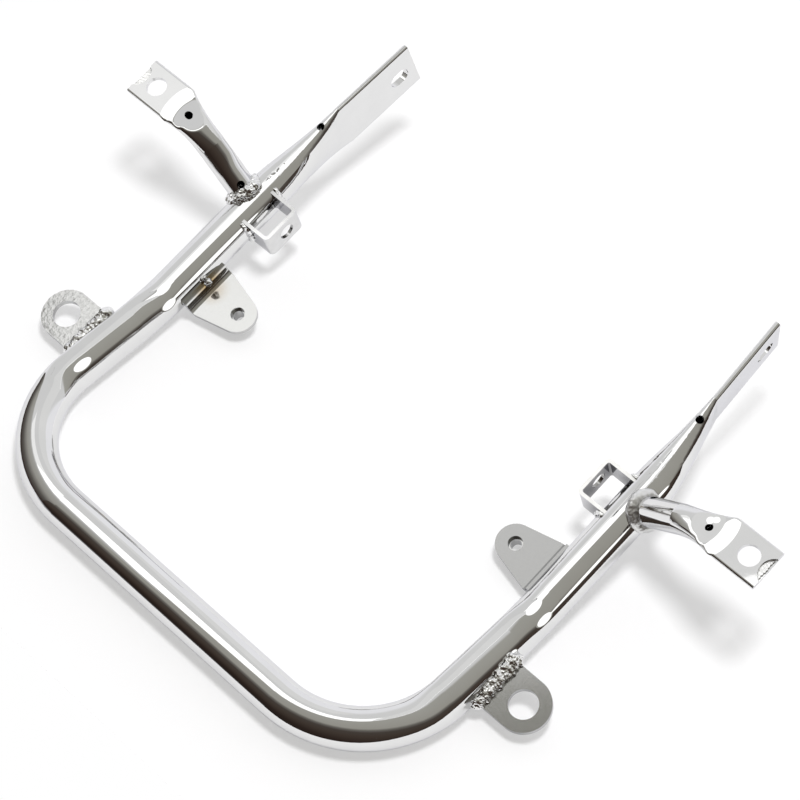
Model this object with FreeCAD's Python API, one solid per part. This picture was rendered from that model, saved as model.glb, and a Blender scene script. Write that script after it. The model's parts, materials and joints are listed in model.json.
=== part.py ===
import FreeCAD
import Part
import math
import os

# A chrome plated grab bar bent from one round tube, with welded-on brackets.
# Millimetres. X runs across, Y runs forward along the legs, Z is up, the floor is Z = 0.
# It lies as it rests: crossbar and rear loop flat on the floor, legs kicked up towards the front.

V = FreeCAD.Vector

# Main tube
tube_d = 25.4
tube_wall = 1.8
leg_spacing = 310.0          # between the two leg centre lines
corner_r = 67.0              # rear corners, centre line
kick_y = 132.0               # from the crossbar to the point where the legs kick up
kick_angle = 13.5            # degrees
kick_r = 150.0               # centre line of the kick bend

# Flattened ear at the front of each leg; distances run along the leg from the kick point
press_start = 104.0
press_length = 60.0
ear_end = 222.5
ear_width = 36.0
ear_inset = 5.0              # the ear starts pressed over towards the middle
ear_end_inset = 8.0          # and runs further in by its cut end
ear_twist = 6.0              # degrees, upper edge leaning outwards
slot_from_end = 13.0
slot_length = 14.0
slot_width = 10.0
slot_low = 1.0               # below the middle of the ear
leg_drain_from_press = 45.4
drain_d = 5.0

# Strut: smaller tube rising outwards from the side of each leg
strut_d = 18.0
strut_wall = 1.5
strut_along = 88.5           # foot, along the leg from the kick point
strut_lean = 8.9             # how far the tab sits ahead of the foot
strut_rise = 41.0            # degrees above the plane of the legs
strut_press_start = 46.0     # along the strut from the leg centre line
strut_press_end = 75.5
strut_bend_r = 4.0           # inside of the fold into the flat tab
strut_tab_width = 26.6
strut_tab_reach = 94.0       # from the leg centre line to the cut end, across
strut_hole_from_end = 13.4
strut_hole_d = 13.0
strut_notch_r = 9.5
strut_notch_deep = 5.0
strut_drain_high = 68.4      # along the strut
right_drain_low = 20.5
right_drain_turn = 40.0      # degrees round the strut from its top, towards the front
left_drain_low = 17.0
left_drain_turn = -10.0

# Rear lug: plate with a large hole on the outer side of each leg
lug_y = 90.5
lug_reach = 20.5             # from the side of the tube to the hole
lug_high = 2.0               # upper face above the leg centre line, at the hole
lug_tilt = 13.5              # degrees, level with the front of the legs
lug_r = 16.2
lug_hole_d = 17.5
lug_t = 4.0

# Folded tab on the inner side of each leg, with a weld nut under it
tab_along = 30.5
tab_reach = 40.2             # from the leg centre line to the hole
tab_root_width = 34.7
tab_tip_r = 12.0
tab_t = 3.0
tab_top = -7.0               # upper face of the plate against the leg centre line
tab_flange_top = -0.5
tab_fold_r = 4.0             # inside of the fold
tab_seat = 0.4               # how deep the flange is dished to the tube
tab_hole_d = 9.0
nut_flats = 13.0
nut_high = 8.8
nut_bore_d = 6.8

# Strap bent to a box on the inner side of each leg
box_along = 86.5
box_length = 27.5
box_reach = 28.7             # from the leg centre line to the outer face
box_low = -9.5
box_high = 10.5
box_t = 2.2
box_fold_r = 3.5             # outside of the folds
box_hole_d = 10.5
box_hole_ahead = 1.5         # of the middle of the strap

# Weld beads
strut_bead_r = 3.6
lug_bead_r = 5.2
box_bead_r = 2.4
tab_bead_r = 2.6

tube_r = tube_d / 2
strut_r = strut_d / 2
leg_x = leg_spacing / 2
kick = math.radians(kick_angle)
ear_half_t = tube_wall + 0.1
strut_half_t = strut_wall + 0.1
rise = math.radians(strut_rise)


def placed_front(shape):
    """Moves a shape drawn against the front of the leg to where that leg lies."""
    out = shape.copy()
    out.rotate(V(0, 0, 0), V(1, 0, 0), kick_angle)
    out.translate(V(0, kick_y, tube_r))
    return out


def front_point(x, along, high):
    """A point given along the front of the leg, as a point in the whole frame."""
    y = kick_y + along * math.cos(kick) - high * math.sin(kick)
    z = tube_r + along * math.sin(kick) + high * math.cos(kick)
    return V(x, y, z)


def mirrored(shape):
    return shape.mirror(V(0, 0, 0), V(1, 0, 0))


def rod(start, end, radius):
    return Part.makeCylinder(radius, (end - start).Length, start, end - start)


def bent_rod(corners, bend_radii, radius):
    """A round rod through the corner points, each inner corner bent to its radius."""
    pieces = []
    start = corners[0]
    for i in range(1, len(corners) - 1):
        to_here = (corners[i] - corners[i - 1]).normalize()
        onward = (corners[i + 1] - corners[i]).normalize()
        turn = to_here.getAngle(onward)
        trim = bend_radii[i - 1] * math.tan(turn / 2)
        bend_in = corners[i] - to_here * trim
        axis = to_here.cross(onward).normalize()
        centre = bend_in + axis.cross(to_here) * bend_radii[i - 1]
        pieces.append(rod(start, bend_in, radius))
        disc = Part.Face(Part.Wire(Part.makeCircle(radius, bend_in, to_here)))
        pieces.append(disc.revolve(centre, axis, math.degrees(turn)))
        start = corners[i] + onward * trim
    pieces.append(rod(start, corners[-1], radius))
    return pieces


def pressed_wire(centre, wide, thick, round_r, flat_w, flat_t, amount):
    """Outline of a round tube pressed flat by an amount from 0 to 1; it widens later than it thins."""
    diagonal = round_r * math.cos(math.pi / 4)
    widened = amount ** 2
    half_w = round_r + widened * (flat_w - round_r)
    half_t = round_r + amount * (flat_t - round_r)
    edge_w = diagonal + widened * (flat_w - flat_t - diagonal)
    edge_t = diagonal + amount * (flat_t - diagonal)
    marks = [(-edge_w, edge_t), (0, half_t), (edge_w, edge_t), (half_w, 0),
             (edge_w, -edge_t), (0, -half_t), (-edge_w, -edge_t), (-half_w, 0)]
    points = [centre + wide * w + thick * t for w, t in marks]
    points.append(points[0])
    edges = []
    for i in range(0, 8, 2):
        if i % 4 == 0 and amount > 0.999:
            edges.append(Part.makeLine(points[i], points[i + 2]))
        else:
            edges.append(Part.Arc(points[i], points[i + 1], points[i + 2]).toShape())
    return Part.Wire(edges)


def pressed_by(part):
    """Pressing eases in from the round tube and ends in a crease at the flat."""
    return part ** 1.4


def pressed_loft(steps, last, start, run, shift, wides, thicks, round_r, flat_w, flat_t):
    """Tube going from round to flat over a run, its centre moved sideways as it flattens.

    The wide and thick directions are given at the round and at the flat end.
    """
    wires = []
    for i in range(last + 1):
        part = i / steps
        amount = pressed_by(part)
        centre = start + run * part + shift * amount
        wide = (wides[0] * (1 - part) + wides[1] * part).normalize()
        thick = (thicks[0] * (1 - part) + thicks[1] * part).normalize()
        wires.append(pressed_wire(centre, wide, thick, round_r, flat_w, flat_t, amount))
    return Part.makeLoft(wires, True)


def one_solid(pieces):
    whole = pieces[0].fuse(pieces[1:]).removeSplitter()
    return whole.Solids[0]


def fitted(shape):
    """A bracket or bead cut to fit the outside of the right leg."""
    corners = [V(leg_x, 0, tube_r), V(leg_x, kick_y, tube_r), front_point(leg_x, press_start, 0)]
    return shape.cut(one_solid(bent_rod(corners, [kick_r], tube_r))).Solids[0]


def ear_directions():
    """Across the width of the ear, and through its thickness."""
    twist = math.radians(ear_twist)
    return V(math.sin(twist), 0, math.cos(twist)), V(math.cos(twist), 0, -math.sin(twist))


def pressed_end(radius, flat_w, flat_t, last):
    across, through = ear_directions()
    start = V(leg_x, press_start, 0)
    run = V(0, press_length, 0)
    shift = V(-ear_inset, 0, 0)
    wides = (V(0, 0, 1), across)
    thicks = (V(1, 0, 0), through)
    return pressed_loft(8, last, start, run, shift, wides, thicks, radius, flat_w, flat_t)


def tube_skin(radius):
    corners = [front_point(leg_x, press_start, 0), V(leg_x, kick_y, tube_r), V(leg_x, 0, tube_r)]
    corners += [V(-c.x, c.y, c.z) for c in reversed(corners)]
    return bent_rod(corners, [kick_r, corner_r, corner_r, kick_r], radius)


def make_main_tube():
    across, through = ear_directions()
    ear_wire = pressed_wire(V(leg_x - ear_inset, press_start + press_length, 0), across, through,
                            tube_r, ear_width / 2, ear_half_t, 1)
    ear = Part.Face(ear_wire).extrude(V(ear_inset - ear_end_inset, ear_end - press_start - press_length, 0))
    half_run = (slot_length - slot_width) / 2
    slot_mid = ear_end - slot_from_end
    cut_x = leg_x - ear_end_inset - tube_r
    for side in (-1, 1):
        at = V(cut_x, slot_mid + side * half_run, -slot_low)
        ear = ear.cut(Part.makeCylinder(slot_width / 2, tube_d, at, V(1, 0, 0)))
    slot_floor = -slot_low - slot_width / 2
    middle = Part.makeBox(tube_d, 2 * half_run, slot_width, V(cut_x, slot_mid - half_run, slot_floor))
    ear = ear.cut(middle)
    outer_end = placed_front(pressed_end(tube_r, ear_width / 2, ear_half_t, 8))
    inner_end = placed_front(pressed_end(tube_r - tube_wall, ear_width / 2 - tube_wall, 0.2, 7))
    ear = placed_front(ear)
    outer = one_solid(tube_skin(tube_r) + [outer_end, mirrored(outer_end), ear, mirrored(ear)])
    inner = one_solid(tube_skin(tube_r - tube_wall) + [inner_end, mirrored(inner_end)])
    drain_part = leg_drain_from_press / press_length
    drain_at = V(leg_x - ear_inset * pressed_by(drain_part), press_start + leg_drain_from_press, 0)
    drain_up = V(0, 0, 1) * (1 - drain_part) + across * drain_part
    drain = placed_front(rod(drain_at, drain_at + drain_up * ear_width, drain_d / 2))
    return outer.cut(inner).cut(drain).cut(mirrored(drain))


def strut_frame():
    """Foot of the strut and its directions: along it, across its width, and out of its upper face."""
    along = V(math.cos(rise), strut_lean / strut_press_end, math.sin(rise)).normalize()
    across = (V(0, 1, 0) - along * along.y).normalize()
    return V(leg_x, strut_along, 0), along, across, along.cross(across)


def make_strut(drain_low, drain_turn):
    foot, along, across, out = strut_frame()
    tab_across = V(0, 1, 0)
    tab_out = V(-math.sin(rise), 0, math.cos(rise))
    flat_w = strut_tab_width / 2
    run = along * (strut_press_end - strut_press_start)
    shift = tab_out * (strut_half_t - strut_r)
    press_at = foot + along * strut_press_start
    wides = (across, tab_across)
    thicks = (out, tab_out)
    outer = [rod(foot, press_at, strut_r),
             pressed_loft(5, 5, press_at, run, shift, wides, thicks, strut_r, flat_w, strut_half_t)]
    bore_r = strut_r - strut_wall
    inner = [rod(foot, press_at, bore_r),
             pressed_loft(5, 4, press_at, run, shift, wides, thicks, bore_r, flat_w - strut_wall, 0.2)]
    crease = press_at + run + shift
    flat_face = Part.Face(pressed_wire(crease, tab_across, tab_out, strut_r, flat_w, strut_half_t, 1))
    hinge = crease - tab_out * (strut_half_t + strut_bend_r)
    fold = flat_face.revolve(hinge, tab_across, strut_rise)
    tab_start = hinge + V(0, 0, strut_bend_r + strut_half_t)
    tab_face = Part.Face(pressed_wire(tab_start, tab_across, V(0, 0, 1), strut_r, flat_w, strut_half_t, 1))
    tab_end = V(leg_x + strut_tab_reach, tab_start.y, tab_start.z)
    tab = tab_face.extrude(tab_end - tab_start)
    body = one_solid(outer + [fold, tab]).cut(one_solid(inner))
    hole = tab_end - V(strut_hole_from_end, 0, strut_r)
    body = body.cut(Part.makeCylinder(strut_hole_d / 2, strut_d, hole))
    notch = tab_end + V(strut_notch_r - strut_notch_deep, 0, 0)
    body = body.cut(Part.makeCylinder(strut_notch_r, strut_d, notch))
    low = foot + along * drain_low
    turn = math.radians(drain_turn)
    low_out = out * math.cos(turn) + across * math.sin(turn)
    body = body.cut(rod(low, low + low_out * strut_d, drain_d / 2))
    high = foot + along * strut_drain_high - out * strut_r / 2
    body = body.cut(rod(high, high + out * strut_d, drain_d / 2))
    return fitted(placed_front(body))


def make_strut_weld():
    """Bead round the foot of the strut, midway between the high and low points of its saddle."""
    foot, along, across, out = strut_frame()
    reach = (tube_r + math.sqrt(tube_r ** 2 - strut_r ** 2)) / 2
    ring = Part.makeTorus(strut_r, strut_bead_r, foot + along * reach, along)
    return fitted(placed_front(ring.cut(rod(foot, foot + along * strut_press_start, strut_r))))


def placed_rear(shape):
    """Moves a shape drawn from the side of the tube and the lug's upper face to where the lug lies."""
    out = shape.copy()
    out.rotate(V(0, 0, 0), V(1, 0, 0), lug_tilt)
    out.translate(V(leg_x + tube_r, lug_y, tube_r + lug_high))
    return out


def lug_blank():
    plate = Part.makeBox(lug_reach + tube_r, 2 * lug_r, lug_t, V(-tube_r, -lug_r, -lug_t))
    return plate.fuse(Part.makeCylinder(lug_r, lug_t, V(lug_reach, 0, -lug_t))).removeSplitter()


def make_lug():
    hole = Part.makeCylinder(lug_hole_d / 2, lug_t, V(lug_reach, 0, -lug_t))
    return fitted(placed_rear(lug_blank().cut(hole)))


def capsule(start, end, radius):
    """Round bead with rounded ends."""
    pieces = [rod(start, end, radius), Part.makeSphere(radius, start), Part.makeSphere(radius, end)]
    return one_solid(pieces)


def make_lug_weld():
    half = lug_r - 1
    bead = capsule(V(0, -half, 0), V(0, half, 0), lug_bead_r)
    lower = Part.makeBox(4 * lug_r, 4 * lug_r, lug_r, V(-2 * lug_r, -2 * lug_r, -lug_r))
    return fitted(placed_rear(bead.cut(lower)))


def tab_plate():
    face_x = leg_x - tube_r + tab_seat
    tip_x = leg_x - tab_reach - tab_tip_r
    low = tab_top - tab_t
    outer_r = tab_fold_r + tab_t
    side = Part.makeBox(face_x - tip_x, tab_root_width, tab_flange_top - low, V(tip_x, -tab_root_width / 2, low))
    inside = Part.makeBox(face_x - tip_x, tab_root_width, tube_d, V(tip_x - tab_t, -tab_root_width / 2, tab_top))
    fold_at = V(face_x - outer_r, -tab_root_width / 2, low + outer_r)
    block = Part.makeBox(outer_r, tab_root_width, outer_r, V(face_x - outer_r, -tab_root_width / 2, low))
    fold_out = Part.makeCylinder(outer_r, tab_root_width, fold_at, V(0, 1, 0))
    fold_in = Part.makeCylinder(tab_fold_r, tab_root_width, fold_at, V(0, 1, 0))
    corner = block.common(fold_out).cut(fold_in)
    plate = side.cut(inside).cut(block).fuse(corner)
    riser_low = low + outer_r
    if tab_flange_top > riser_low:
        riser = Part.makeBox(tab_t, tab_root_width, tab_flange_top - riser_low,
                             V(face_x - tab_t, -tab_root_width / 2, riser_low))
        plate = plate.fuse(riser)
    plate = plate.removeSplitter()
    # plan: straight root, sides running tangent into the round tip
    hole = V(leg_x - tab_reach, 0, 0)
    root_x = face_x - outer_r
    run = root_x - hole.x
    lean = math.asin(tab_tip_r / math.hypot(run, tab_root_width / 2)) - math.atan2(tab_root_width / 2, run)
    touch = V(hole.x - tab_tip_r * math.sin(-lean), tab_tip_r * math.cos(lean), 0)
    plan_points = [V(face_x, tab_root_width / 2, 0), V(root_x, tab_root_width / 2, 0), touch]
    lower_points = [V(p.x, -p.y, 0) for p in reversed(plan_points)]
    tip = V(hole.x - tab_tip_r, 0, 0)
    edges = [Part.makeLine(plan_points[0], plan_points[1]), Part.makeLine(plan_points[1], touch),
             Part.Arc(touch, tip, lower_points[0]).toShape(), Part.makeLine(lower_points[0], lower_points[1]),
             Part.makeLine(lower_points[1], lower_points[2]), Part.makeLine(lower_points[2], plan_points[0])]
    plan = Part.Face(Part.Wire(edges)).extrude(V(0, 0, 2 * tube_d))
    plan.translate(V(0, 0, -tube_d))
    plate = plate.common(plan)
    plate = plate.cut(Part.makeCylinder(tab_hole_d / 2, tube_d, hole - V(0, 0, tube_r + tab_t)))
    plate.translate(V(0, tab_along, 0))
    return plate


def make_tab():
    return fitted(placed_front(tab_plate()))


def make_tab_weld():
    """Bead under the leg, in the wedge behind the fold of the tab."""
    x = leg_x - tube_r + tab_seat
    high = tab_top + tab_t / 2
    half = tab_root_width / 2 - tab_bead_r
    bead = capsule(V(x, tab_along - half, high), V(x, tab_along + half, high), tab_bead_r)
    return fitted(placed_front(bead.cut(tab_plate())))


def make_nut():
    corner = nut_flats / math.sqrt(3)
    points = []
    for i in range(7):
        turn = math.radians(60 * i)
        points.append(V(corner * math.cos(turn), corner * math.sin(turn), 0))
    nut = Part.Face(Part.makePolygon(points)).extrude(V(0, 0, nut_high))
    nut = nut.cut(Part.makeCylinder(nut_bore_d / 2, nut_high))
    nut.translate(V(leg_x - tab_reach, tab_along, tab_top - tab_t - nut_high))
    return placed_front(nut)


def make_box():
    high = box_high - box_low
    low_corner = V(leg_x - box_reach, box_along - box_length / 2, box_low)
    outer = Part.makeBox(box_reach, box_length, high, low_corner)
    inner = Part.makeBox(box_reach, box_length - 2 * box_t, high, low_corner + V(box_t, box_t, 0))
    outer = outer.makeFillet(box_fold_r, [e for e in outer.Edges if upright_at(e, low_corner.x)])
    inner = inner.makeFillet(box_fold_r - box_t, [e for e in inner.Edges if upright_at(e, low_corner.x + box_t)])
    strap = outer.cut(inner)
    middle = (box_low + box_high) / 2
    strap = strap.cut(Part.makeCylinder(box_hole_d / 2, 3 * box_t,
                                        V(low_corner.x - box_t, box_along + box_hole_ahead, middle), V(1, 0, 0)))
    return fitted(placed_front(strap))


def make_box_weld():
    """Two beads round the leg, outside the front and rear ends of the strap."""
    beads = []
    for side in (-1, 1):
        y = box_along + side * box_length / 2
        ring = Part.makeTorus(tube_r, box_bead_r, V(leg_x, y, 0), V(0, 1, 0))
        start_y = y if side > 0 else y - 2 * box_bead_r
        zone = Part.makeBox(tube_d, 2 * box_bead_r, box_high - box_low, V(leg_x - tube_d - 4, start_y, box_low))
        beads.append(fitted(placed_front(ring.common(zone))))
    return Part.makeCompound(beads)


def upright_at(edge, x):
    a, b = edge.Vertexes[0].Point, edge.Vertexes[-1].Point
    return abs(a.x - x) < 0.01 and abs(b.x - x) < 0.01 and abs(a.z - b.z) > 1


def export(shape, name):
    """Writes a shape with the middle of the whole bar over the origin."""
    out = shape.copy()
    front_y = front_point(0, ear_end, -ear_width / 2).y
    rear_y = -tube_r
    out.translate(V(0, -(front_y + rear_y) / 2, 0))
    out.exportStep("parts/" + name + ".step")


os.makedirs("parts", exist_ok=True)
export(make_main_tube(), "main_tube")
export(make_strut(right_drain_low, right_drain_turn), "right_strut")
export(mirrored(make_strut(left_drain_low, left_drain_turn)), "left_strut")
for name, maker in (("lug", make_lug), ("tab", make_tab), ("tab_nut", make_nut), ("box_bracket", make_box),
                    ("strut_weld", make_strut_weld), ("lug_weld", make_lug_weld), ("tab_weld", make_tab_weld),
                    ("box_weld", make_box_weld)):
    right = maker()
    export(right, "right_" + name)
    export(mirrored(right), "left_" + name)
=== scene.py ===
import json
import math
from typing import NamedTuple

import bmesh
import bpy
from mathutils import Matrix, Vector


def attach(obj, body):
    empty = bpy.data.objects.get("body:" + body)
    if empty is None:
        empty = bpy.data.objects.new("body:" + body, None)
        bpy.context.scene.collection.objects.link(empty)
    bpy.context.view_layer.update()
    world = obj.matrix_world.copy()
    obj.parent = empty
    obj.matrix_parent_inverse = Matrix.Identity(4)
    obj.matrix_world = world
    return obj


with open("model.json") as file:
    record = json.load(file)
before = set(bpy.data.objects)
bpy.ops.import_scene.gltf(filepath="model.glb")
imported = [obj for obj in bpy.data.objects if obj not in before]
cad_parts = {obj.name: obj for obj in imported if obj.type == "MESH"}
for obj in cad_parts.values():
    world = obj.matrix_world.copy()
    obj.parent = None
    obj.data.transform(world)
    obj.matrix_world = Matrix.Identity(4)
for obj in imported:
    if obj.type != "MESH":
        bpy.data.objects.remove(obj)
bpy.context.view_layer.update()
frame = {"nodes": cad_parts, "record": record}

# Lengths are metres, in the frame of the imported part. A side is 1 on the right and -1 on the left.

camera_place = (0.5930, -0.5935, 1.3250)
camera_tilt = math.radians(33.0)     # from straight down
camera_turn = math.radians(44.19)
camera_lens = 118.6                  # millimetres, as is the sensor
sensor_width = 36.0
towards_camera = Vector((math.sin(camera_turn), -math.cos(camera_turn), 0.0))
to_the_right = Vector((math.cos(camera_turn), math.sin(camera_turn), 0.0))

# The white sheet under the bar ends close to it on the camera's side. Its corners are (x, y).
sheet_low = (-3.0, -0.245)
sheet_high = (0.37, 3.0)
sheet_drop = 0.0002
sheet_shade = (0.95, 0.95, 0.965)
sheet_white = 0.42                   # share of what is seen of it that is plain white

lamp_place = (0.25, 0.24, 2.6)
lamp_size = 0.6
lamp_energy = 45.0

# Cards hang flat above the bar. Their corners are (towards the camera, to the right) from the middle.
card_height = 1.0
card_tint = (1.0, 1.0, 0.995)
soft_box = [(0.0, 0.0), (0.055, -0.75), (0.1, -1.2), (-0.45, -1.2),
            (-0.45, -0.38), (-0.34, -0.29), (-0.24, 0.0)]
soft_box_glow = 1.5
soft_box_tail = [(-0.45, -1.2), (-0.68, -1.2), (-0.68, -0.5), (-0.45, -0.38)]
soft_box_tail_glow = 1.05
pale_card = [(0.0, 0.0), (-0.24, 0.0), (-1.3, 0.0), (-1.3, 1.0), (-0.1, 1.0)]
pale_card_glow = 0.84

# A dark strip runs along the back of the soft box and a bright one along the front of the pale card.
strip_width = 0.012
strip_drop = 0.001
soft_box_back = soft_box_tail[2:] + soft_box[5:]
soft_box_back_glow = 0.12
pale_card_front = [pale_card[0], pale_card[-1]]
pale_card_front_glow = 1.5

# A flag stands to the left of the bar: how far left, then (towards the camera, up) for two corners.
flag_left = -0.5
flag_low = (-0.42, 0.0)
flag_high = (0.12, 0.62)
flag_shades = [(0.0, (0.03, 0.02, 0.016)), (0.2, (0.12, 0.11, 0.1)), (0.45, (0.36, 0.35, 0.32)),
               (0.8, (0.44, 0.435, 0.41)), (1.0, (0.7, 0.7, 0.7))]

# Shades of the room by angle: 0 degrees is level behind the camera, 90 is overhead and 180 is level ahead.
room_shades = [(-150, (0.97, 0.97, 1.0)), (-90, (0.97, 0.97, 1.0)), (-45, (0.02, 0.015, 0.012)),
               (-10, (0.03, 0.02, 0.016)), (25, (0.06, 0.045, 0.036)), (45, (0.07, 0.058, 0.05)),
               (56, (0.16, 0.15, 0.135)), (64, (0.36, 0.35, 0.315)), (102, (0.41, 0.405, 0.37)),
               (106, (0.75, 0.75, 0.75)), (138, (0.77, 0.77, 0.77)), (150, (0.96, 0.96, 0.99)),
               (179, (0.97, 0.97, 1.0))]
room_skew = math.radians(24)         # how much higher the angles count on the right

# The legs rise ahead of the kick point.
kick = math.radians(13.5)
kick_point = (0.0, -0.0379, 0.0127)


class Flat(NamedTuple):
    """A flat on a curved surface: its middle, its reach along X, Y and Z and the way it faces."""
    middle: tuple
    reach: tuple
    way: tuple
    amount: float = 1.0              # how far the surface turns that way
    soft: float = 0.25               # share of the reach over which it fades out
    dish: float = 0.0                # how far the surface also turns towards the middle


# Marks that the bender left at the kicks and behind them.
right_mark = (-0.03, -0.2, 1.0)
left_mark = (0.18, -0.2, 1.0)
bender_marks = [Flat((0.1555, -0.0360, 0.0262), (0.0030, 0.0068, 0.006), right_mark),
                Flat((0.1636, -0.0360, 0.0232), (0.0021, 0.0068, 0.006), right_mark),
                Flat((0.1647, -0.0625, 0.0209), (0.0012, 0.0034, 0.004), right_mark),
                Flat((-0.1526, -0.0310, 0.0266), (0.0028, 0.0062, 0.006), left_mark),
                Flat((-0.1448, -0.0345, 0.0217), (0.0019, 0.0062, 0.006), left_mark),
                Flat((-0.1487, -0.1010, 0.0237), (0.0030, 0.0080, 0.006), left_mark)]

# Both legs behind the kicks, and the left strut, are a little out of round.
leg_lean = (1.0, 0.0, 0.3)
strut_lean = (0.7, -0.7, 0.3)
out_of_round = [Flat((0.155, -0.08, 0.0254), (0.05, 0.05, 0.05), leg_lean, amount=0.24, soft=0.4),
                Flat((-0.155, -0.08, 0.0254), (0.05, 0.05, 0.05), leg_lean, amount=0.27, soft=0.4),
                Flat((-0.192, 0.045, 0.062), (0.024, 0.03, 0.03), strut_lean, amount=0.25, soft=0.4)]

# Each strut has a rounded fold, and next to it a pressed face, wide at the fold and narrow round the drain.
# The right drain has a dent beside it.
strut_y = 0.0457
strut_ways = {1: ((-0.115, -0.293, 1.0), (0.02, -0.08, 0.96)),
              -1: ((0.25, -0.28, 1.0), (0.13, -0.02, 0.96))}
pressed = {"soft": 0.35, "dish": 0.05}
strut_flats = []
for side, (fold_way, press_way) in strut_ways.items():
    strut_flats += [Flat((side * 0.2172, strut_y, 0.0800), (0.0060, 0.0150, 0.012), fold_way),
                    Flat((side * 0.2088, strut_y, 0.0785), (0.0064, 0.0132, 0.012), press_way, **pressed),
                    Flat((side * 0.2045, strut_y, 0.0765), (0.0100, 0.0088, 0.012), press_way, **pressed)]
dent_way = strut_ways[1][0]
drain_dent = [Flat((0.2052, 0.0494, 0.0785), (0.0027, 0.0027, 0.012), dent_way, **pressed),
              Flat((0.2078, 0.0514, 0.0785), (0.0025, 0.0025, 0.012), dent_way, **pressed)]
tube_flats = out_of_round + bender_marks + strut_flats + drain_dent

# Long narrow flats on the raised part of the legs: X, along the leg and out from it, from the kick point.
right_line = (-0.052, -0.233, 0.971)
left_line = (0.1045, -0.232, 0.967)
long_flats = [Flat((-0.1453, 0.0440, 0.0082), (0.0012, 0.0480, 0.0016), left_line),
              Flat((0.1637, 0.0420, 0.0093), (0.0008, 0.0420, 0.0012), right_line),
              Flat((0.1640, 0.1020, 0.0090), (0.0008, 0.0100, 0.0012), right_line)]

# Weld spatter and heat stain on the flange of the left tab.
spatter_at = (-0.1393, -0.0068, 0.0220)
spatter_r = 0.0024
stain_reach = 0.016
stain_soft = 0.9
stain_shade = (0.36, 0.26, 0.13)

# Size and depth of the lumps in each weld, and the share of them that stays inside the smooth bead.
lumps_of = {"right_strut_weld": (0.005, 0.0014, 0.25), "left_strut_weld": (0.0040, 0.0052, 0.35),
            "left_lug_weld": (0.0042, 0.0024, 0.45), "right_lug_weld": (0.0034, 0.0032, 0.48)}
other_lumps = (0.0028, 0.0026, 0.5)
spatter_lumps = (0.003, 0.0028, 0.4)
weld_voxel = 0.00035

plate_edge = 0.0004                  # how far the edges of the plates are eased
plate_edge_angle = math.radians(50)
sharp_angle = math.radians(35)

glancing_tint = (0.8, 0.8, 0.83)     # tint of the metals where they are seen edge on
corner_shade_power = 1.6                   # how fast the painted shade in the box brackets deepens inwards

# The lower wall of each strut shows, torn, in the notch of the upper one.
notch_edge = 0.2489
notch_middle = (0.2535, 0.0454, 0.0793)
notch_r = 0.0095
torn_rows = 5
torn_columns = 26
torn_deep = 0.0007
torn_fine = 0.0005
torn_steps = (7.3, 2.9)              # radians from column to column, in the deep and the fine teeth
torn_lift = 0.0002
torn_wave = 0.0003
wave_steps = (4.1, 3.7)              # radians from column to column and from row to row
torn_curl = 0.0006


def node_tree(owner):
    owner.use_nodes = True
    owner.node_tree.nodes.clear()
    return owner.node_tree.nodes, owner.node_tree.links


def math_node(nodes, links, operation, *values):
    made = nodes.new("ShaderNodeMath")
    made.operation = operation
    for socket, value in zip(made.inputs, values):
        if isinstance(value, (int, float)):
            socket.default_value = value
        else:
            links.new(value, socket)
    return made.outputs[0]


def vector_node(nodes, links, operation, a, b=(0.0, 0.0, 0.0)):
    made = nodes.new("ShaderNodeVectorMath")
    made.operation = operation
    links.new(a, made.inputs[0])
    made.inputs[1].default_value = b
    return made.outputs["Value" if operation in ("DOT_PRODUCT", "LENGTH") else "Vector"]


def mix_node(nodes, links, amount, a, b, blend="MIX"):
    made = nodes.new("ShaderNodeMixRGB")
    made.blend_type = blend
    for socket, value in zip(made.inputs, (amount, a, b)):
        if isinstance(value, tuple):
            socket.default_value = (*value, 1.0)
        elif isinstance(value, float):
            socket.default_value = value
        else:
            links.new(value, socket)
    return made.outputs[0]


def ramp_node(nodes, links, value, stops):
    ramp = nodes.new("ShaderNodeValToRGB")
    points = ramp.color_ramp.elements
    while len(points) < len(stops):
        points.new(0.5)
    for point, (place, shade) in zip(points, stops):
        point.position = place
        point.color = (*shade, 1.0)
    links.new(value, ramp.inputs[0])
    return ramp.outputs[0]


def near(nodes, links, place, middle, reach, soft):
    """How far inside an ellipsoid a place is, from 0 to 1, and its offset as a share of the reach."""
    offset = vector_node(nodes, links, "SUBTRACT", place, middle)
    share = vector_node(nodes, links, "DIVIDE", offset, reach)
    limit = nodes.new("ShaderNodeMapRange")
    limit.interpolation_type = "SMOOTHSTEP"
    limit.inputs["From Min"].default_value = 1.0
    limit.inputs["From Max"].default_value = 1.0 - soft
    links.new(vector_node(nodes, links, "LENGTH", share), limit.inputs["Value"])
    return limit.outputs["Result"], share


def along_leg(nodes, links, place):
    """Place seen from the kick point, along the raised part of the legs."""
    turned = nodes.new("ShaderNodeVectorRotate")
    turned.rotation_type = "X_AXIS"
    turned.inputs["Angle"].default_value = -kick
    links.new(vector_node(nodes, links, "SUBTRACT", place, kick_point), turned.inputs["Vector"])
    return turned.outputs["Vector"]


def press_flats(nodes, links, place, facing, flats):
    """Turns the surface the way that each flat faces."""
    for flat in flats:
        inside, share = near(nodes, links, place, flat.middle, flat.reach, flat.soft)
        inward = vector_node(nodes, links, "MULTIPLY", share, (-flat.dish,) * 3)
        turned = nodes.new("ShaderNodeMix")
        turned.data_type = "VECTOR"
        factor, start, end = turned.inputs[0], turned.inputs[4], turned.inputs[5]
        links.new(math_node(nodes, links, "MULTIPLY", inside, flat.amount), factor)
        links.new(facing, start)
        links.new(vector_node(nodes, links, "ADD", inward, flat.way), end)
        facing = vector_node(nodes, links, "NORMALIZE", turned.outputs[1])
    return facing


def grained(nodes, links, grain, base, spread):
    """Shade that varies a little to both sides of the base with the grain."""
    dark = tuple(c * (1 - spread) for c in base)
    light = tuple(min(1.0, c * (1 + spread)) for c in base)
    return ramp_node(nodes, links, grain, [(0.3, dark), (0.7, light)])


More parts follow.
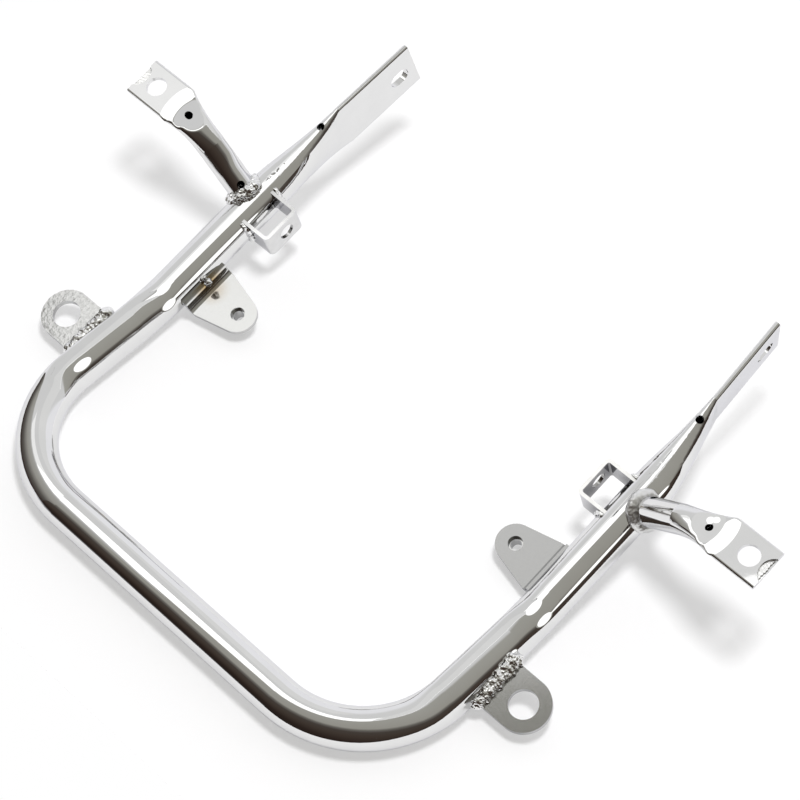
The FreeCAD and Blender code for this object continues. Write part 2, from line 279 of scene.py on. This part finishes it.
def stained(nodes, links, place, shade):
    """Shade with the heat stain of the left tab."""
    heat, _ = near(nodes, links, place, spatter_at, (stain_reach,) * 3, stain_soft)
    return mix_node(nodes, links, heat, shade, stain_shade)


def paint_corner_shade(nodes, links, shade, reach):
    """Colour darkened by painted shade (ambient occlusion) where walls within reach close it in."""
    corner_shade = nodes.new("ShaderNodeAmbientOcclusion")
    corner_shade.inputs["Distance"].default_value = reach
    depth = math_node(nodes, links, "POWER", corner_shade.outputs["AO"], corner_shade_power)
    return mix_node(nodes, links, 1.0, shade, depth, "MULTIPLY")


def make_metal(name, base, roughness, grain_scale, grain_depth, spread, bent=False, stain=False, corner_shade=0):
    """Plated metal whose shade, gloss and surface vary a little with fine grain."""
    material = bpy.data.materials.new(name)
    nodes, links = node_tree(material)
    output = nodes.new("ShaderNodeOutputMaterial")
    shader = nodes.new("ShaderNodeBsdfPrincipled")
    shader.inputs["Metallic"].default_value = 1.0
    shader.inputs["Specular Tint"].default_value = (*glancing_tint, 1.0)
    place = nodes.new("ShaderNodeTexCoord").outputs["Object"]
    noise = nodes.new("ShaderNodeTexNoise")
    noise.inputs["Scale"].default_value = grain_scale
    noise.inputs["Detail"].default_value = 4.0
    links.new(place, noise.inputs["Vector"])
    grain = noise.outputs["Fac"]

    shade = grained(nodes, links, grain, base, spread)
    if stain:
        shade = stained(nodes, links, place, shade)
    # Painted shade: the colour darkens in corners and recesses within the given reach.
    if corner_shade:
        shade = paint_corner_shade(nodes, links, shade, corner_shade)
    links.new(shade, shader.inputs["Base Color"])

    gloss = math_node(nodes, links, "MULTIPLY_ADD", grain, roughness, roughness * 0.5)
    links.new(gloss, shader.inputs["Roughness"])

    bump = nodes.new("ShaderNodeBump")
    bump.inputs["Strength"].default_value = 1.0
    bump.inputs["Distance"].default_value = 1.0
    links.new(math_node(nodes, links, "MULTIPLY", grain, grain_depth), bump.inputs["Height"])
    facing = bump.outputs["Normal"]
    if bent:
        facing = press_flats(nodes, links, place, facing, tube_flats)
        facing = press_flats(nodes, links, along_leg(nodes, links, place), facing, long_flats)
    links.new(facing, shader.inputs["Normal"])
    links.new(shader.outputs["BSDF"], output.inputs["Surface"])
    return material


# Shade, roughness, scale and depth of the grain, and how much the shade varies with it.
chrome = make_metal("chrome", (0.765, 0.765, 0.762), 0.03, 60.0, 0.00001, 0.02, bent=True)
satin = make_metal("satin", (0.49, 0.49, 0.482), 0.14, 1800.0, 0.000006, 0.06)
# The right tab's satin is painted darker, as painted shade; the left tab's is painted paler, as painted
# light, and carries the real heat stain.
satin_painted_shade = make_metal("satin_painted_shade", (0.345, 0.345, 0.34), 0.16, 1800.0, 0.000006, 0.06)
stained_satin_painted_light = make_metal("stained_satin_painted_light", (0.56, 0.56, 0.55), 0.12, 1800.0, 0.000006, 0.05, stain=True)
speckled = make_metal("speckled", (0.5, 0.5, 0.492), 0.1, 420.0, 0.00012, 0.14)
# Both box brackets carry painted shade in their corners; the right one is also painted darker overall, as
# painted shade.
box_painted_shade = make_metal("box_painted_shade", (0.72, 0.72, 0.715), 0.06, 200.0, 0.00001, 0.05, corner_shade=0.014)
box_darker_painted_shade = make_metal("box_darker_painted_shade", (0.66, 0.655, 0.64), 0.06, 200.0, 0.00001, 0.05, corner_shade=0.018)
bead = make_metal("bead", (0.85, 0.85, 0.84), 0.06, 900.0, 0.00008, 0.1)
dull_bead = make_metal("dull_bead", (0.8, 0.8, 0.79), 0.4, 500.0, 0.00005, 0.05)
torn_metal = make_metal("torn_metal", (0.96, 0.96, 0.95), 0.3, 900.0, 0.0002, 0.04)

dress = {"tube": chrome, "plate": satin, "weld": bead, "nut": satin}
dress_one = {"right_box_bracket": box_darker_painted_shade, "left_box_bracket": box_painted_shade, "left_lug": speckled,
             "right_tab": satin_painted_shade, "left_tab": stained_satin_painted_light, "right_strut_weld": dull_bead}


def roughen(piece, lump_size, lump_deep, kept):
    """Turns a smooth weld bead into a lumpy one."""
    remesh = piece.modifiers.new("even", "REMESH")
    remesh.mode = "VOXEL"
    remesh.voxel_size = weld_voxel
    remesh.use_smooth_shade = True
    lumps = bpy.data.textures.new(piece.name + "_lumps", "CLOUDS")
    lumps.noise_scale = lump_size
    lumps.noise_depth = 2
    push = piece.modifiers.new("lumps", "DISPLACE")
    push.texture = lumps
    push.texture_coords = "LOCAL"
    push.strength = lump_deep
    push.mid_level = kept


def ease_edges(piece):
    """Rounds the edges of a stamped plate a little."""
    bevel = piece.modifiers.new("eased", "BEVEL")
    bevel.width = plate_edge
    bevel.segments = 2
    bevel.limit_method = "ANGLE"
    bevel.angle_limit = plate_edge_angle
    bevel.harden_normals = True


def smooth(mesh):
    for polygon in mesh.polygons:
        polygon.use_smooth = True


for entry in frame["record"]["subparts"]:
    name = entry["node"]
    piece = frame["nodes"][name]
    piece.data.materials.clear()
    piece.data.materials.append(dress_one.get(name, dress[entry["material_slot"]]))
    smooth(piece.data)
    piece.data.set_sharp_from_angle(angle=sharp_angle)
    if entry["material_slot"] == "weld":
        roughen(piece, *lumps_of.get(name, other_lumps))
    elif entry["material_slot"] == "plate":
        ease_edges(piece)


def add_detail(name, corners, faces, material):
    mesh = bpy.data.meshes.new(name)
    mesh.from_pydata(corners, [], faces)
    mesh.materials.append(material)
    smooth(mesh)
    detail = bpy.data.objects.new(name, mesh)
    bpy.context.collection.objects.link(detail)
    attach(detail, "root")
    return detail


def make_spatter():
    """A drop of weld metal on the left tab."""
    shape = bmesh.new()
    bmesh.ops.create_icosphere(shape, subdivisions=3, radius=spatter_r)
    corners = [Vector(spatter_at) + vertex.co for vertex in shape.verts]
    faces = [tuple(vertex.index for vertex in face.verts) for face in shape.faces]
    shape.free()
    roughen(add_detail("left_tab_spatter", corners, faces, bead), *spatter_lumps)


def make_torn_edge(name, side):
    """Torn lower wall in the notch of a strut's tab, from the notch's arc out to an uneven edge."""
    half = math.sqrt(notch_r ** 2 - (notch_middle[0] - notch_edge) ** 2)
    corners, faces = [], []
    for i in range(torn_rows + 1):
        for j in range(torn_columns + 1):
            across = half * (2 * j / torn_columns - 1)
            inner = notch_middle[0] - math.sqrt(notch_r ** 2 - across ** 2)
            torn = torn_deep * abs(math.sin(torn_steps[0] * j + side))
            torn += torn_fine * abs(math.sin(torn_steps[1] * j))
            part = i / torn_rows
            x = inner + (notch_edge - torn - inner) * part
            wave = math.sin(wave_steps[0] * j + wave_steps[1] * i) ** 2
            lift = torn_lift + torn_wave * wave + torn_curl * part
            corners.append((side * x, notch_middle[1] + across * math.cos(kick) - lift * math.sin(kick),
                            notch_middle[2] + across * math.sin(kick) + lift * math.cos(kick)))
            if i and j:
                here = i * (torn_columns + 1) + j
                below = here - torn_columns - 1
                faces.append((here, here - 1, below - 1, below)[::side])
    add_detail(name, corners, faces, torn_metal)


make_spatter()
make_torn_edge("right_torn_edge", 1)
make_torn_edge("left_torn_edge", -1)


def make_card(name, corners, material):
    mesh = bpy.data.meshes.new(name)
    mesh.from_pydata(corners, [], [tuple(range(len(corners)))])
    mesh.materials.append(material)
    card = bpy.data.objects.new(name, mesh)
    bpy.context.collection.objects.link(card)
    return card


def make_sheet_material():
    """Part of what the camera and the metal see of the sheet is plain white, the rest shows the shadow."""
    material = bpy.data.materials.new("sheet")
    nodes, links = node_tree(material)
    output = nodes.new("ShaderNodeOutputMaterial")
    shader = nodes.new("ShaderNodeBsdfDiffuse")
    shader.inputs["Color"].default_value = (*sheet_shade, 1.0)
    glow = nodes.new("ShaderNodeEmission")
    glow.inputs["Strength"].default_value = 1.0
    path = nodes.new("ShaderNodeLightPath")
    seen = math_node(nodes, links, "MAXIMUM", path.outputs["Is Camera Ray"], path.outputs["Is Glossy Ray"])
    mix = nodes.new("ShaderNodeMixShader")
    links.new(math_node(nodes, links, "MULTIPLY", seen, sheet_white), mix.inputs["Fac"])
    links.new(shader.outputs[0], mix.inputs[1])
    links.new(glow.outputs[0], mix.inputs[2])
    links.new(mix.outputs[0], output.inputs["Surface"])
    return material


def make_sheet():
    low, high = sheet_low, sheet_high
    corners = [(low[0], low[1], 0), (high[0], low[1], 0), (high[0], high[1], 0), (low[0], high[1], 0)]
    make_card("sheet", corners, make_sheet_material()).location.z = -sheet_drop


def make_glow(name, strength, upward):
    """Even glow, or one that changes upwards through the given stops."""
    material = bpy.data.materials.new(name)
    nodes, links = node_tree(material)
    output = nodes.new("ShaderNodeOutputMaterial")
    glow = nodes.new("ShaderNodeEmission")
    glow.inputs["Color"].default_value = (*card_tint, 1.0)
    glow.inputs["Strength"].default_value = strength
    if upward:
        split = nodes.new("ShaderNodeSeparateXYZ")
        links.new(nodes.new("ShaderNodeTexCoord").outputs["Generated"], split.inputs[0])
        links.new(ramp_node(nodes, links, split.outputs["Z"], upward), glow.inputs["Color"])
    links.new(glow.outputs[0], output.inputs["Surface"])
    return material


def make_reflected(name, outline, strength, upward=()):
    """A card that only shows as a reflection; its corners are (towards the camera, to the right, up)."""
    corners = []
    for front, right, up in outline:
        spot = towards_camera * front + to_the_right * right
        corners.append((spot.x, spot.y, up))
    card = make_card(name, corners, make_glow(name, strength, upward))
    card.visible_camera = False
    card.visible_diffuse = False
    card.visible_shadow = False


def hung(outline, lower=0.0):
    return [(front, right, card_height - lower) for front, right in outline]


def make_strip(name, line, strength):
    """A narrow strip along the back of a line."""
    for a, b in zip(line, line[1:]):
        behind = [(b[0] - strip_width, b[1]), (a[0] - strip_width, a[1])]
        make_reflected(name, hung([a, b] + behind, strip_drop), strength)


def make_flag():
    corners = [flag_low, (flag_high[0], flag_low[1]), flag_high, (flag_low[0], flag_high[1])]
    outline = [(front, flag_left, up) for front, up in corners]
    make_reflected("flag", outline, 1.0, flag_shades)


def make_cards():
    make_reflected("soft_box", hung(soft_box), soft_box_glow)
    make_reflected("soft_box_tail", hung(soft_box_tail), soft_box_tail_glow)
    make_reflected("pale_card", hung(pale_card), pale_card_glow)
    make_flag()
    make_strip("rim", soft_box_back, soft_box_back_glow)
    make_strip("edge", pale_card_front, pale_card_front_glow)


def make_world():
    """White to the camera; round the bar a pale wall ahead, a grey ceiling and a dark room behind."""
    world = bpy.data.worlds.new("studio")
    bpy.context.scene.world = world
    nodes, links = node_tree(world)
    output = nodes.new("ShaderNodeOutputWorld")
    background = nodes.new("ShaderNodeBackground")
    place = nodes.new("ShaderNodeTexCoord").outputs["Generated"]
    split = nodes.new("ShaderNodeSeparateXYZ")
    links.new(place, split.inputs[0])
    along = vector_node(nodes, links, "DOT_PRODUCT", place, towards_camera)
    across = vector_node(nodes, links, "DOT_PRODUCT", place, to_the_right)
    angle = math_node(nodes, links, "ARCTAN2", split.outputs["Z"], along)
    skewed = math_node(nodes, links, "MULTIPLY_ADD", across, room_skew, angle)
    turn = math_node(nodes, links, "MULTIPLY_ADD", skewed, 0.5 / math.pi, 0.5)
    stops = [(degrees / 360.0 + 0.5, shade) for degrees, shade in room_shades]
    room = ramp_node(nodes, links, turn, stops)
    path = nodes.new("ShaderNodeLightPath")
    seen = mix_node(nodes, links, path.outputs["Is Camera Ray"], room, (1.0, 1.0, 1.0))
    links.new(seen, background.inputs["Color"])
    links.new(background.outputs[0], output.inputs["Surface"])


def make_lamp():
    light = bpy.data.lights.new("overhead", "AREA")
    light.shape = "DISK"
    light.size = lamp_size
    light.energy = lamp_energy
    lamp = bpy.data.objects.new("overhead", light)
    lamp.location = lamp_place
    lamp.visible_glossy = False
    lamp.visible_camera = False
    bpy.context.collection.objects.link(lamp)


def make_camera():
    camera = bpy.data.cameras.new("camera")
    camera.sensor_width = sensor_width
    camera.lens = camera_lens
    holder = bpy.data.objects.new("camera", camera)
    holder.location = camera_place
    holder.rotation_euler = (camera_tilt, 0.0, camera_turn)
    bpy.context.collection.objects.link(holder)
    bpy.context.scene.camera = holder


make_sheet()
make_cards()
make_world()
make_lamp()
make_camera()
bpy.context.scene.view_settings.view_transform = "Standard"
